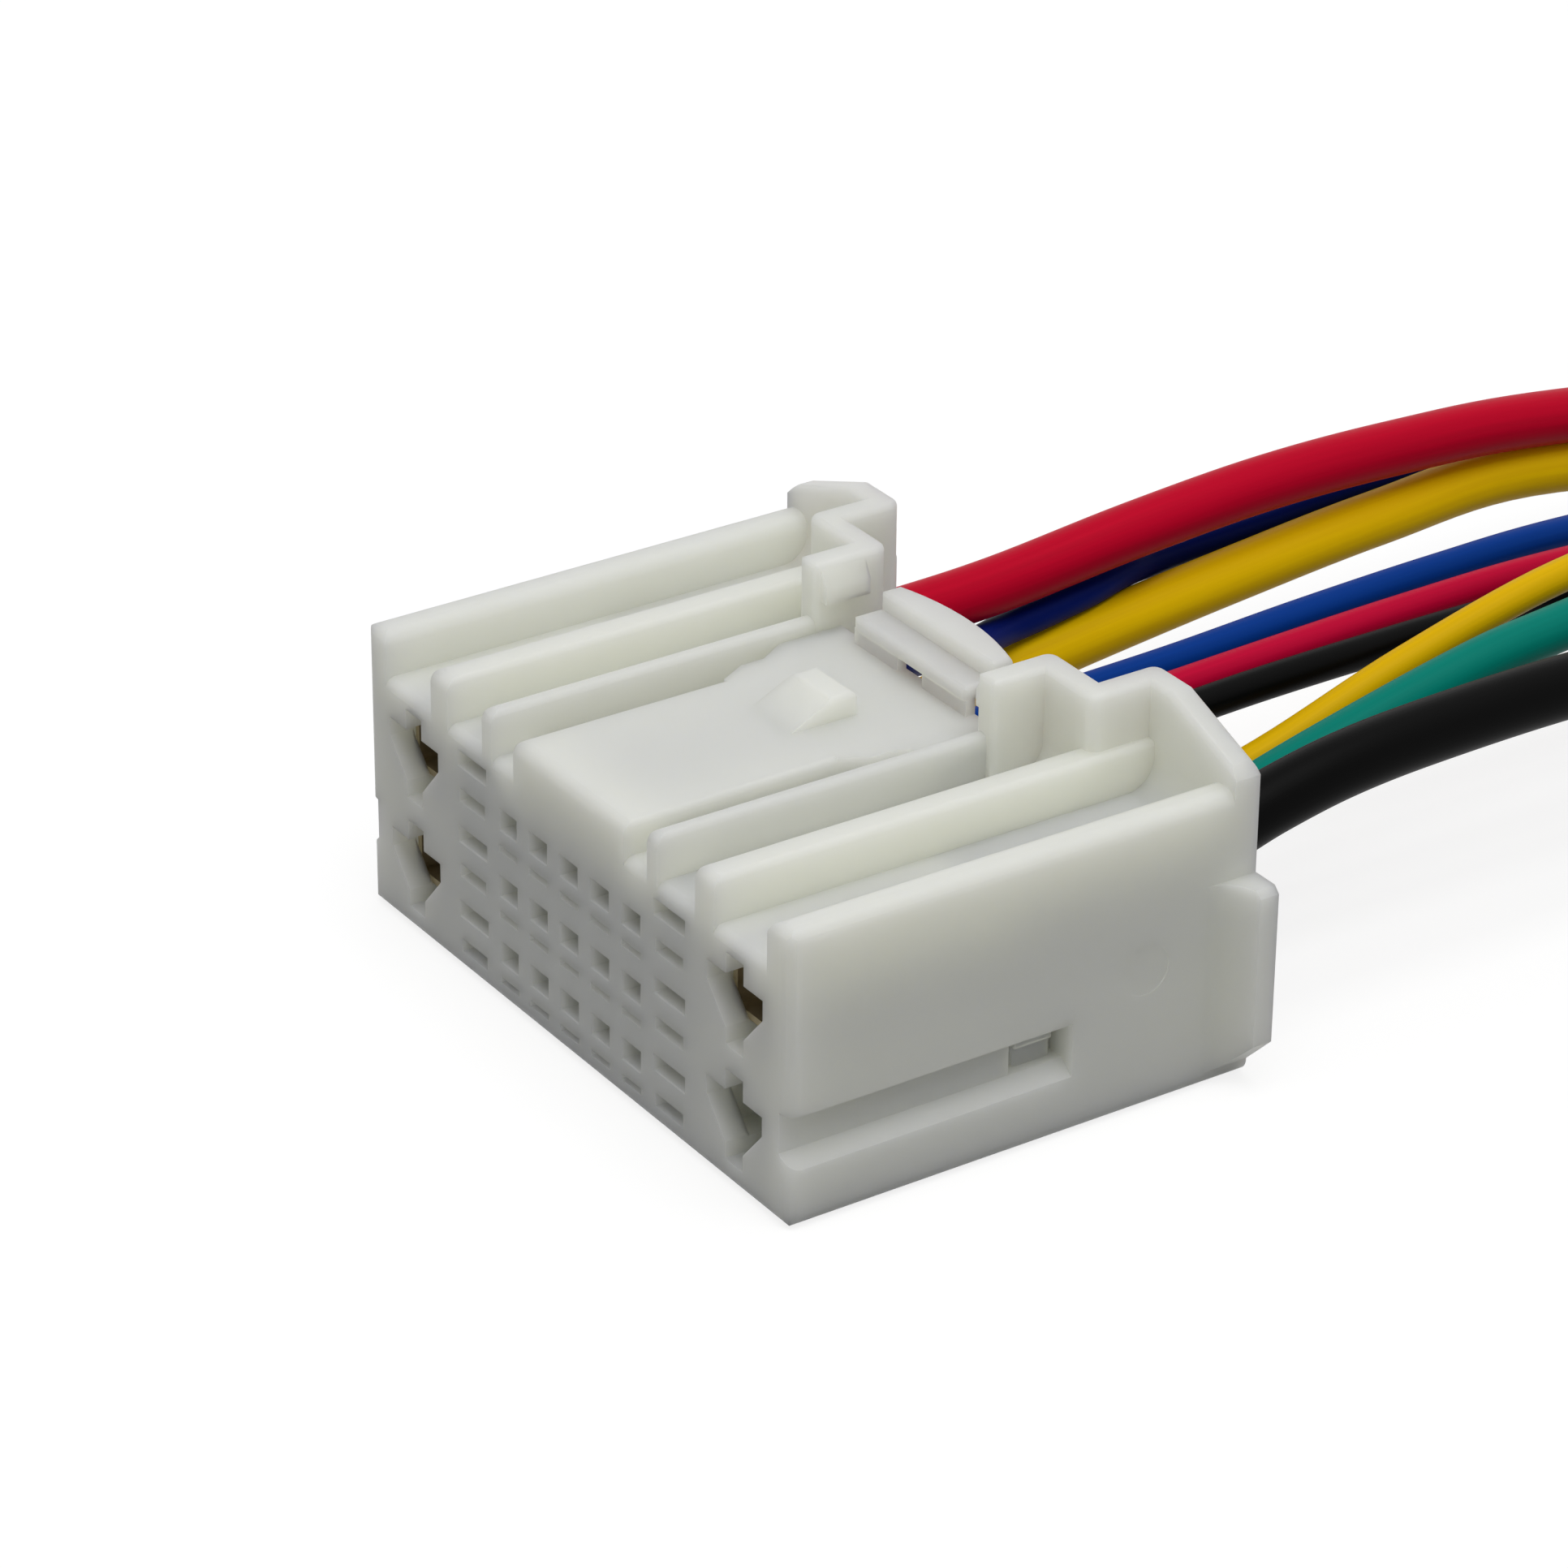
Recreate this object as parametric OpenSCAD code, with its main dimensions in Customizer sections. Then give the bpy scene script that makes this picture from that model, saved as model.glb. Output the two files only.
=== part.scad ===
// Wiring harness connector: a white moulded cable socket housing with guide ribs,
// a latch arm with a press pad, sheet metal terminals and nine crimped wires.
// Millimetres, Z up, mating face towards -Y, wires leave towards +Y.

/* [Housing] */
// Depth of the housing from the mating face to the rear edge
body_d = 24; // [23.2:0.1:32]
// Rise of the guide ribs above the deck
rib_rise = 2.2; // [1.5:0.1:3]
// Thickness of the side walls outside the power cavities
side_wall = 1.95; // [1.75:0.05:3]
// Thickness of the floor under the narrow cavities
base_wall = 0.9; // [0.7:0.05:1.5]
// Thickness of the deck above the wide cavities
top_wall = 0.65; // [0.5:0.05:1]
// Rounding radius of the block's outer edges
edge_r = 0.7; // [0.2:0.05:0.8]
// Rounding radius of the front edge of the deck
deck_r = 0.5; // [0.2:0.05:0.6]
// Rounding radius of the rims of ribs, hood and latch
rim_r = 0.32; // [0.1:0.02:0.36]

/* [Guide ribs] */
// Thickness of the outer guide ribs, flush with the sides
outer_rib_t = 1.7; // [1.5:0.05:2.2]
// Thickness of the middle guide ribs
mid_rib_t = 1.4; // [1:0.05:1.8]
// Thickness of the thin ribs beside the latch bay
bay_rib_t = 0.75; // [0.74:0.01:1.1]
// Distance from the axis of the wide column inwards to the thin rib
bay_rib_in = 1.7; // [1.3:0.05:2]
// Distance from the axis of the wide column outwards to the middle rib
mid_rib_out = 2; // [1.6:0.05:2.6]

/* [Rear hood] */
// Rise of the hood wall above the deck
hood_rise = 4.9; // [4:0.1:6.5]
// Thickness of the hood wall
hood_t = 1.3; // [1:0.05:1.5]
// Radius of the outer corners of the hood wall
hood_bend = 0.6; // [0.4:0.05:0.8]
// Radius of the hollow fillet in front of the hood
hood_fillet = 1.4; // [0.8:0.1:1.8]
// Distance from the rear edge to the rear face of the wide columns
wide_back = 3.1; // [2.9:0.05:4]
// Distance from the rear edge to the rear face of the narrow columns
narrow_back = 4.6; // [4.2:0.05:5.5]
// Distance from the rear edge to the front of the hood beside the latch
guard_back = 7.1; // [6.5:0.05:8]
// Lap of the hood over the edge of the latch bay
guard_lap = 0.1; // [0.05:0.01:0.2]
// Lap of the hood step over the middle rib
step_lap = 0.35; // [0.2:0.05:0.8]
// Length of the level top of the rearmost hood wall
hood_level = 2.6; // [2.4:0.05:3.5]
// Height of the slanted outer corner of the hood
hood_corner = 0.36; // [0.2:0.02:0.6]
// How far the stop on the hood stands out over the latch bay
stop_out = 0.45; // [0.2:0.05:0.7]
// Height of the lower edge of the stop below the hood top
stop_drop = 1.9; // [1.4:0.05:2.4]
// Height of the upright face of the stop
stop_h = 0.8; // [0.4:0.05:1.2]

/* [Side grooves] */
// Depth of the side guide grooves
groove_depth = 0.75; // [0.4:0.05:1]
// Height of the groove floor above the base
groove_z = 3.5; // [2.5:0.1:4.5]
// Clear height of the side grooves
groove_h = 1.96; // [1.4:0.02:2.6]
// Height of the slant below the groove
groove_slant = 0.63; // [0.3:0.01:1]
// Length of the side grooves from the mating face
groove_len = 14.5; // [10:0.1:17]
// Length of the deeper pocket at the end of the groove
pocket_len = 2.8; // [2:0.1:4]
// Depth of that pocket from the side face
pocket_depth = 1.6; // [1.3:0.05:1.7]
// Depth of the lower half of the block inside the pocket
pocket_block = 1.2; // [1.1:0.05:1.25]
// How much the upper half of that block stands out further
pocket_step = 0.2; // [0.1:0.05:0.3]
// Gap in front of that block
pocket_front = 0.5; // [0.2:0.05:0.6]
// Gap behind that block
pocket_rear = 0.4; // [0.2:0.05:0.6]
// Distance from the mating face to the ejector mark on the side
mark_y = 18.3; // [17:0.1:18.5]
// Height of the ejector mark above the base
mark_z = 6.9; // [6:0.1:8]
// Radius of the ejector mark
mark_r = 1.2; // [0.8:0.05:1.4]
// Depth of the ejector mark
mark_depth = 0.05; // [0.03:0.01:0.1]

/* [Rear ears] */
// How far the rear ears stand out from the sides
ear_out = 1.65; // [1:0.05:2.5]
// Thickness of the rear ears
ear_t = 1; // [0.7:0.05:1.6]
// Height from the ear tops to the deck
ear_drop = 2; // [1:0.1:3.5]
// Height of the lower end of the ears above the base
ear_z = 0.75; // [0.4:0.05:2]

/* [Latch] */
// Gap between the latch arm and the thin ribs
latch_gap = 1.85; // [1.4:0.05:2.4]
// Gap beside the first shoulder of the arm
shoulder_gap = 1.1; // [0.8:0.05:1.3]
// Gap beside the wide rear of the arm
rear_gap = 0.25; // [0.15:0.05:0.6]
// Distance from the mating face to the first shoulder
shoulder_y = 10.9; // [9:0.1:11]
// Length of the slope of each shoulder
shoulder_run = 1.4; // [0.8:0.1:1.5]
// Length of the straight edge between the shoulders
shoulder_flat = 1.2; // [0.6:0.1:1.5]
// Thickness of the latch arm
arm_t = 1.25; // [0.9:0.05:1.6]
// Height of the arm top above the deck
arm_rise = 1.65; // [1.4:0.05:2.2]
// Depth of the flexing space cut into the deck below the arm
flex_drop = 1.2; // [0.8:0.05:1.5]
// Length of the solid root at the front of the arm
root_len = 2.5; // [1.5:0.1:4]
// Distance from the mating face to the rear edge of the locking nub
nub_y = 13.9; // [12:0.1:15]
// Length of the locking nub
nub_len = 3.5; // [2.5:0.1:5]
// Length of the level top of the nub
nub_top = 1.5; // [1:0.05:2]
// Width of the locking nub
nub_w = 3.04; // [2:0.02:4]
// Height of the locking nub above the arm
nub_h = 1.15; // [0.8:0.05:1.6]
// Distance from the rear edge of the housing to the front of the press pad
pad_back = 6.35; // [5.8:0.05:6.8]
// Inset of the pad sides from the arm sides
pad_inset = 0.15; // [0.05:0.05:0.4]
// Length of the low front step of the press pad
pad_low_len = 1.45; // [1:0.05:2]
// Height of the low step above the arm
pad_low = 1.4; // [1.2:0.05:1.8]
// Height of the high step above the arm
pad_high = 2.25; // [1.9:0.05:2.7]
// Thickness of the low step plate
pad_t = 0.65; // [0.64:0.01:0.9]
// Radius of the curved rear edge of the pad
pad_arc_r = 14; // [10:0.5:20]
// Overhang of the pad in front of its web
pad_lip = 0.1; // [0.05:0.05:0.5]
// Thickness of the web below the pad
web_t = 0.5; // [0.4:0.05:0.9]
// Width of the window in the web
window_w = 1.9; // [1:0.1:3]

/* [Narrow cavities] */
// Sideways pitch of the narrow cavities
signal_pitch = 2.5; // [2.3:0.05:3.2]
// Width of a narrow cavity
signal_w = 2; // [1.96:0.01:2.1]
// Height of a narrow cavity at the rear
signal_h = 2.4; // [2.2:0.05:2.6]
// Thickness of the roof between the narrow cavities and the flexing space
signal_roof = 0.83; // [0.5:0.01:1.1]
// Height of the narrow terminal chamber
signal_box_h = 1.35; // [1.2:0.05:1.5]
// Width of a narrow pin opening
signal_hole_w = 1.52; // [1:0.02:1.7]
// Height of a narrow pin opening
signal_hole_h = 1.12; // [0.8:0.02:1.2]
// Height of the core slot below a narrow opening
signal_slot_h = 0.32; // [0.2:0.02:0.5]

/* [Wide cavities] */
// Width of a wide cavity
wide_w = 2.8; // [2.72:0.02:3.2]
// Height of a wide cavity at the rear
wide_h = 2.8; // [2.72:0.02:3]
// Thickness of the floor under the wide cavities
wide_floor = 0.95; // [0.7:0.05:1.5]
// Height of the wide terminal chamber
wide_box_h = 1.5; // [1.3:0.05:1.8]
// Width of a wide pin opening
wide_hole_w = 2.48; // [1.8:0.02:2.6]
// Height of a wide pin opening
wide_hole_h = 0.85; // [0.7:0.05:1.2]
// Width of the core slot below a wide opening
wide_slot_w = 2.15; // [1.4:0.05:2.4]
// Height of the core slot below a wide opening
wide_slot_h = 0.65; // [0.3:0.05:0.8]
// Web between the wide and the narrow cavities
wide_web = 0.6; // [0.4:0.05:1]

/* [Power cavities] */
// Width of a power cavity
power_w = 4.3; // [4:0.05:5]
// Height of a power cavity
power_h = 4.4; // [3.64:0.01:5.3]
// Thickness of the floor under the power cavities
power_floor = 1.22; // [0.9:0.02:2]
// Thickness of the wall between the power cavities
power_wall = 1.18; // [0.8:0.02:2]
// Thickness of the deck above the power cavities
power_roof = 0.8; // [0.6:0.05:1.5]
// Height of the power terminal chamber
power_box_h = 2.7; // [2.2:0.05:2.75]
// Web between the power and the wide cavities
power_web = 1.45; // [0.8:0.05:2]
// Width of the notches above and below a power opening
power_notch_w = 1.34; // [1:0.02:1.6]
// Height of the upper notch of a power opening
power_notch_h = 1; // [0.7:0.05:1.05]
// Height of the upright sides of a power opening
power_side_h = 0.95; // [0.6:0.05:1]
// Height of the slanted lower corners of a power opening
power_slant_h = 1.65; // [1:0.05:1.65]
// Step from a power opening to its wider chamber
power_lip = 0.05; // [0.02:0.01:0.2]

/* [Cavity details] */
// Bevel round a pin opening
lead_bevel = 0.05; // [0.05:0.01:0.2]
// Distance from the top of a cavity to its pin opening
hole_drop = 0.15; // [0.1:0.01:0.2]
// Height of a core slot above the floor of its cavity
slot_lift = 0.1; // [0.05:0.01:0.2]
// Gap behind a narrow or wide terminal box to its catch
catch_gap = 0.15; // [0.12:0.01:0.3]
// Length of that catch
catch_l = 0.7; // [0.4:0.05:1]
// Height of that catch
catch_h = 0.32; // [0.2:0.02:0.4]
// Distance from that catch to the full height of the wire space
catch_run = 1.2; // [0.9:0.05:1.24]
// Length of the catch in a power cavity
power_catch_l = 1.6; // [1:0.05:1.7]
// Height of the catch in a power cavity
power_catch_h = 0.4; // [0.2:0.05:0.6]

/* [Terminals] */
// Sheet thickness of the narrow terminals
signal_sheet = 0.15; // [0.12:0.01:0.18]
// Sheet thickness of the wide terminals
wide_sheet = 0.2; // [0.15:0.01:0.25]
// Sheet thickness of the power terminals
power_sheet = 0.32; // [0.25:0.01:0.4]
// Clearance of a terminal in its chamber
fit = 0.1; // [0.05:0.01:0.15]
// Thickness of the front wall before the terminals
front_wall = 1.2; // [0.8:0.05:2]
// Length of a narrow terminal box
signal_box_l = 6.5; // [5.5:0.1:8]
// Length of a wide terminal box
wide_box_l = 7.2; // [5.5:0.1:8]
// Length of a power terminal box
power_box_l = 8.8; // [7:0.1:10]
// Distance from the box front to the sprung tongue inside it
tongue_in = 1.2; // [0.8:0.1:1.5]
// Length of the sprung tongue
tongue_l = 3; // [2:0.1:3.5]
// Room below the sprung tongue
tongue_rise = 0.3; // [0.15:0.05:0.4]
// Length of the window in the box top
box_window_l = 1.8; // [1:0.1:2.2]
// Distance from the box rear to that window
box_window_back = 1.2; // [0.8:0.1:1.5]
// Distance from a narrow terminal box to its insulation ring
signal_neck = 3.4; // [3:0.1:4]
// Distance from a wide terminal box to its insulation ring
wide_neck = 3.6; // [3:0.1:4]
// Distance from a power terminal box to its insulation ring
power_neck = 4.6; // [4.2:0.1:5]
// Length of the insulation ring of a narrow terminal
signal_ring = 2; // [1.5:0.1:2.5]
// Length of the insulation ring of a wide terminal
wide_ring = 2.2; // [1.5:0.1:2.5]
// Length of the insulation ring of a power terminal
power_ring = 2.6; // [2:0.1:3]

/* [Wires] */
// Outside diameter of the thin wires
thin_d = 1.6; // [1.2:0.02:1.66]
// Outside diameter of the teal wire
medium_d = 2.25; // [1.8:0.05:2.35]
// Outside diameter of the red and gold wires
thick_d = 2.75; // [2.25:0.05:3.3]
// Outside diameter of the black wire
heavy_d = 2.95; // [2.4:0.05:3.3]
// Length of wire that stays straight behind its crimp
wire_straight = 3; // [2.5:0.1:4]
// Length of the wires behind the housing
lead_len = 124; // [114:1:140]
// Length of the bare strands at the wire ends
strip_len = 6; // [4:0.5:8]
// Diameter of the bare strands as a share of the wire's
core_share = 0.56; // [0.4:0.02:0.6]

/* [Hidden] */
$fn = 48;
eps = 0.02;
// depth by which joined pieces reach into each other
lap = 0.5;
// slope of the outer hood wall: a fall of 352 on a run of 936
hood_slope = atan2(0.352, 0.936);
// strand crimp in shares of the wire's diameter: wings at [x, z], floor, and their radii
crimp_wing = [0.16, 0.14];
crimp_wing_r = 0.2;
crimp_floor = [0, -0.06];
crimp_floor_r = 0.3;
// sides of a wire and in-between points on each stretch
wire_sides = 8;
wire_steps = 2;
metal = [0.72, 0.68, 0.58];
copper = [0.72, 0.45, 0.28];

deck_h = power_floor + 2 * power_h + power_wall + power_roof;
rib_h = deck_h + rib_rise;
hood_h = deck_h + hood_rise;
arm_h = deck_h + arm_rise;
flex_z = deck_h - flex_drop;
wide_x = 2 * signal_pitch + signal_w / 2 + wide_web + wide_w / 2;
power_x = wide_x + wide_w / 2 + power_web + power_w / 2;
half_w = power_x + power_w / 2 + side_wall;
bay_x = wide_x - bay_rib_in;
mid_rib_x = wide_x + mid_rib_out;
// rear faces of the wide and the narrow columns, and the hood that follows them
rear_wide = body_d - wide_back;
rear_mid = body_d - narrow_back;
step_x = mid_rib_x - step_lap;
guard_y = body_d - guard_back;
guard_x = bay_x - guard_lap;
arm_x = bay_x - latch_gap;
pad_x = arm_x - pad_inset;
pad_y = body_d - pad_back;
arm_end = pad_y + pad_lip + web_t;
// top faces of the cavity rows and their pitches
power_top = deck_h - power_roof;
power_row = power_h + power_wall;
wide_top = deck_h - top_wall;
wide_row = (wide_top - wide_h - wide_floor) / 2;
signal_top = flex_z - signal_roof;
signal_row = (signal_top - signal_h - base_wall) / 2;
// heights of the wire axes and the y at which each wire starts
z_red = power_top - power_h / 2;
z_gold = z_red - power_row;
z_navy = wide_top - wide_h / 2;
z_teal = z_navy - wide_row;
z_row1 = signal_top - signal_h / 2;
z_row2 = z_row1 - signal_row;
start_power = front_wall + power_box_l + power_neck;
start_wide = front_wall + wide_box_l + wide_neck;
start_signal = front_wall + signal_box_l + signal_neck;

// Route of a wire: straight out of its cavity, then through points given as
// [x, distance behind the rear edge, height]
function route(x, z, y0, pts) = concat(
  [[x, y0, z], [x, y0 + wire_straight, z], [x, rear_mid, z]],
  [for (p = pts) [p[0], body_d + p[1], p[2]]]);

route_red = route(-power_x, z_red, start_power,
  [[-power_x, 2, z_red], [-13, 8, z_red + 0.2], [-13, 16, z_red + 0.98], [-13, 24, z_red + 1.45],
   [-13, 32, z_red + 1.3], [-13, 41, z_red + 0.6], [-13, 56, z_red - 1.8], [-13, 70, 4],
   [-13, 82, 1.8], [-13, 92, thick_d / 2], [-13, 108, thick_d / 2], [-13, lead_len, thick_d / 2]]);
route_gold = route(-power_x, z_gold, start_power,
  [[-power_x, 1, z_gold + 0.1], [-13, 6, z_gold + 0.7], [-13, 14, z_gold + 1.7],
   [-13, 22, z_gold + 2.55], [-13, 31, z_gold + 3.3], [-13.3, 41, z_gold + 3.31],
   [-12.4, 56, z_gold + 0.88], [-10.2, 70, 2.1], [-9.5, 82, thick_d / 2], [-9.5, 92, thick_d / 2],
   [-9.5, 108, thick_d / 2], [-9.5, lead_len - 1, thick_d / 2]]);
route_navy = route(-wide_x, z_navy, start_wide,
  [[-wide_x, -2, z_navy - 0.1], [-9.2, 1.5, z_navy - 1.2], [-11.3, 5, z_navy - 2.6],
   [-12.7, 8, z_navy - 3.1], [-13, 10.5, z_navy - 2.97], [-13.3, 13.5, z_navy - 2.7],
   [-14, 16, z_navy - 2.65], [-14.7, 18.2, z_navy - 2.9], [-15.15, 21, z_navy - 3.05],
   [-15.25, 26, z_navy - 2.95], [-15.3, 31, z_navy - 2.75],
   [-15.5, 37, z_navy - 2.9], [-15.65, 42.5, z_navy - 3.45], [-15.9, 56, 4.9], [-16, 70, 2.6],
   [-16, 82, 1.1], [-16, 92, thin_d / 2], [-16, 108, thin_d / 2], [-16, lead_len - 3, thin_d / 2]]);
route_blue = route(-signal_pitch, z_row1, start_signal,
  [[-signal_pitch, 2, z_row1], [-2.5, 10, z_row1 + 0.13], [-2.5, 18, z_row1 + 0.5],
   [-2.5, 26, z_row1 + 0.7], [-2.7, 34, z_row1 + 0.5], [-3.8, 48, z_row1 - 1.17],
   [-5, 64, 4.3], [-5.4, 76, 1.7], [-5.5, 86, thin_d / 2], [-5.5, 104, thin_d / 2],
   [-5.5, lead_len - 2, thin_d / 2]]);
route_crimson = route(0, z_row1, start_signal,
  [[0, 2, z_row1 + 0.1], [0, 10, z_row1 + 0.4], [0, 22, z_row1 + 0.68], [0, 32, z_row1 + 0.53],
   [-0.8, 48, z_row1 - 1.3], [-1.7, 64, 4], [-2, 76, 1.5], [-2, 86, thin_d / 2],
   [-2, 104, thin_d / 2], [-2, lead_len + 1, thin_d / 2]]);
route_ink = route(signal_pitch, z_row1, start_signal,
  [[signal_pitch, 2, z_row1 + 0.33], [2.5, 10, z_row1 + 0.73], [2.5, 18, z_row1 + 0.78],
   [2.4, 26, z_row1 + 0.58], [2, 36, z_row1 - 0.27], [1.6, 50, z_row1 - 2.57], [1.5, 64, 3],
   [1.5, 76, 1.1], [1.5, 84, thin_d / 2], [1.5, 102, thin_d / 2], [1.5, lead_len - 1, thin_d / 2]]);
route_lemon = route(2 * signal_pitch, z_row2, start_signal,
  [[2 * signal_pitch, -2, z_row2 + 0.1], [5, 2, z_row2 + 0.37], [5, 10, z_row2 + 2.07],
   [5, 18, z_row2 + 4.52], [5, 27, z_row2 + 6.52], [5, 35, z_row2 + 6.7], [5, 47, z_row2 + 4.97],
   [5, 62, 6], [5, 76, 2.1], [5, 88, thin_d / 2], [5, 106, thin_d / 2],
   [5, lead_len + 1, thin_d / 2]]);
route_teal = route(wide_x, z_teal, start_wide,
  [[wide_x, -2, z_teal], [8, 3, z_teal + 0.7], [8, 10, z_teal + 2.5], [8, 18, z_teal + 4.25],
   [8, 23, z_teal + 4.95], [8, 31, z_teal + 5.25], [8.2, 44, z_teal + 3.55], [8.5, 60, 5.4],
   [8.5, 74, 2], [8.5, 85, medium_d / 2], [8.5, 103, medium_d / 2],
   [8.5, lead_len - 2, medium_d / 2]]);
route_black = route(power_x, z_red, start_power,
  [[power_x, -1.5, z_red + 0.2], [13, 1, z_red + 0.6], [13, 4, z_red + 1.4], [13, 8, z_red + 2.1],
   [13, 13, z_red + 2.4], [13, 21, z_red + 2.4], [13, 31, z_red + 1.8], [13, 44, z_red - 0.4],
   [12.8, 58, 5.2], [12.5, 72, 2.2], [12.5, 82, heavy_d / 2], [12.5, 100, heavy_d / 2],
   [12.5, lead_len, heavy_d / 2]]);

// Smooth curve through the route points that never dips below the ground
function at(p, i) = p[max(0, min(len(p) - 1, i))];
function blend(a, b, c, d, t) = 0.5 * (2 * b + (c - a) * t + (2 * a - 5 * b + 4 * c - d) * t * t
  + (3 * b - a - 3 * c + d) * t * t * t);
function smooth_line(p, n) = concat([for (i = [0 : len(p) - 2], k = [0 : n - 1])
  blend(at(p, i - 1), at(p, i), at(p, i + 1), at(p, i + 2), k / n)], [p[len(p) - 1]]);
function grounded(p, r) = [for (q = p) [q[0], q[1], max(q[2], r)]];
function unit(v) = v / norm(v);
function heading(p, i) = unit(at(p, i + 1) - at(p, i - 1));
function side_of(t) = unit(cross(t, [0, 0, 1]));
function ring_at(c, t, r, n) = [for (k = [0 : n - 1]) c + r * (cos(360 * k / n) * side_of(t)
  + sin(360 * k / n) * cross(side_of(t), t))];

// The part is drawn from the mating face at y = 0 and moved to its centre
module centred() {
  translate([0, -body_d / 2, 0]) children();
}

module mirrored() {
  children();
  mirror([1, 0, 0]) children();
}

// Extrudes a drawing of the X-Z plane from y0 to y1
module along_y(y0, y1) {
  translate([0, y1, 0]) rotate([90, 0, 0]) linear_extrude(y1 - y0) children();
}

// Extrudes a drawing of the Y-Z plane from x0 to x1
module along_x(x0, x1) {
  translate([x0, 0, 0]) rotate([90, 0, 90]) linear_extrude(x1 - x0) children();
}

module box(x0, x1, y0, y1, z0, z1) {
  translate([x0, y0, z0]) cube([x1 - x0, y1 - y0, z1 - z0]);
}

// Upright bar in the drawing plane with both top corners rounded
module round_bar(x0, x1, z0, z1, r) {
  translate([x0, z0]) square([x1 - x0, z1 - r - z0]);
  translate([x0 + r, z0]) square([x1 - x0 - 2 * r, z1 - z0]);
  for (x = [x0 + r, x1 - r]) translate([x, z1 - r]) circle(r);
}

// Rectangle in the drawing plane with all corners rounded
module round_rect(x0, x1, z0, z1, r) {
  translate([x0 + r, z0]) square([x1 - x0 - 2 * r, z1 - z0]);
  translate([x0, z0 + r]) square([x1 - x0, z1 - z0 - 2 * r]);
  for (x = [x0 + r, x1 - r], z = [z0 + r, z1 - r]) translate([x, z]) circle(r);
}

// Block with rounded upright edges and rounded top edges
module soft_box(x0, x1, y0, y1, z0, z1, r) {
  intersection() {
    along_y(y0, y1) round_bar(x0, x1, z0, z1, r);
    along_x(x0, x1) round_bar(y0, y1, z0, z1, r);
    translate([0, 0, z0]) linear_extrude(z1 - z0) round_rect(x0, x1, y0, y1, r);
  }
}

// Four-sided opening that narrows from the mating face inwards
module lead_in(x, z, w, h, depth, c) {
  intersection() {
    translate([0, 0, z - h]) linear_extrude(2 * h)
      polygon([[x - w / 2 - eps, -eps], [x + w / 2 + eps, -eps], [x + w / 2 - c, c],
        [x + w / 2 - c, depth], [x - w / 2 + c, depth], [x - w / 2 + c, c]]);
    along_x(x - w, x + w)
      polygon([[-eps, z - h / 2 - eps], [-eps, z + h / 2 + eps], [c, z + h / 2 - c],
        [depth, z + h / 2 - c], [depth, z - h / 2 + c], [c, z - h / 2 + c]]);
  }
}

// One narrow or wide cavity: opening, terminal chamber with catch, wire space and core slot
module cavity(x, top, w, h, box_h, hole_w, hole_h, box_l, slot_w, slot_h, rear) {
  catch_y = front_wall + box_l + catch_gap;
  full_y = catch_y + catch_run;
  slot_z = top - h + slot_lift;
  lead_in(x, top - hole_drop - hole_h / 2, hole_w, hole_h, front_wall + eps, lead_bevel);
  difference() {
    box(x - w / 2, x + w / 2, front_wall, rear + eps, top - box_h, top);
    box(x - w / 2 - eps, x + w / 2 + eps, catch_y, catch_y + catch_l, top - catch_h, top + eps);
  }
  box(x - w / 2, x + w / 2, full_y, rear + eps, top - h, top);
  box(x - slot_w / 2, x + slot_w / 2, -eps, full_y + eps, slot_z, slot_z + slot_h);
}

// One power cavity: notched opening with slanted lower corners, chamber between two
// channels, catch and wire space
module power_cavity(x, top) {
  n = power_notch_w / 2;
  w = power_w / 2;
  hole = w - power_lip;
  low = top - power_h;
  shoulder = top - power_notch_h;
  side = shoulder - power_side_h;
  slant = side - power_slant_h;
  catch_y = front_wall + power_box_l + 2 * fit;
  along_y(-eps, front_wall + eps)
    polygon([[x - n, top], [x - n, shoulder], [x - hole, shoulder], [x - hole, side], [x - n, slant],
      [x - n, low], [x + n, low], [x + n, slant], [x + hole, side], [x + hole, shoulder],
      [x + n, shoulder], [x + n, top]]);
  box(x - w, x + w, front_wall, catch_y, shoulder - power_box_h, shoulder);
  box(x - n, x + n, front_wall, catch_y, low, top);
  box(x - w, x + w, catch_y - eps, catch_y + power_catch_l + eps, low, shoulder - power_catch_h);
  box(x - w, x + w, catch_y + power_catch_l, body_d + eps, low, top);
}

// Cross section of the block below its deck
module block_section() {
  round_rect(-half_w, half_w, 0, deck_h, edge_r);
  translate([-half_w, deck_h / 2]) square([2 * half_w, deck_h / 2]);
}

// Cross section of the guide ribs
module rib_section() mirrored() {
  round_bar(half_w - outer_rib_t, half_w, deck_h / 2, rib_h, edge_r);
  round_bar(mid_rib_x, mid_rib_x + mid_rib_t, deck_h / 2, rib_h, rim_r);
  round_bar(bay_x, bay_x + bay_rib_t, deck_h / 2, rib_h, rim_r);
}

// Plan of the block: rounded front corners and a rear that steps with the cavity lengths
module plan() {
  r = edge_r;
  polygon([[-half_w, r], [-half_w + r, 0], [half_w - r, 0], [half_w, r], [half_w, body_d],
    [step_x, body_d], [step_x, rear_wide], [guard_x, rear_wide], [guard_x, rear_mid],
    [-guard_x, rear_mid], [-guard_x, rear_wide], [-step_x, rear_wide], [-step_x, body_d],
    [-half_w, body_d]]);
  for (s = [-1, 1]) translate([s * (half_w - r), r]) circle(r);
}

// Side outline up to z1, with the upper front edge rounded by r1
module side_outline(z1, r1) {
  r = edge_r;
  translate([r, 0]) square([body_d, z1 - r1]);
  translate([r1, r]) square([body_d, z1 - r]);
  translate([0, r]) square([body_d, z1 - r - r1]);
  translate([r, r]) circle(r);
  translate([r1, z1 - r1]) circle(r1);
}

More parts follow.
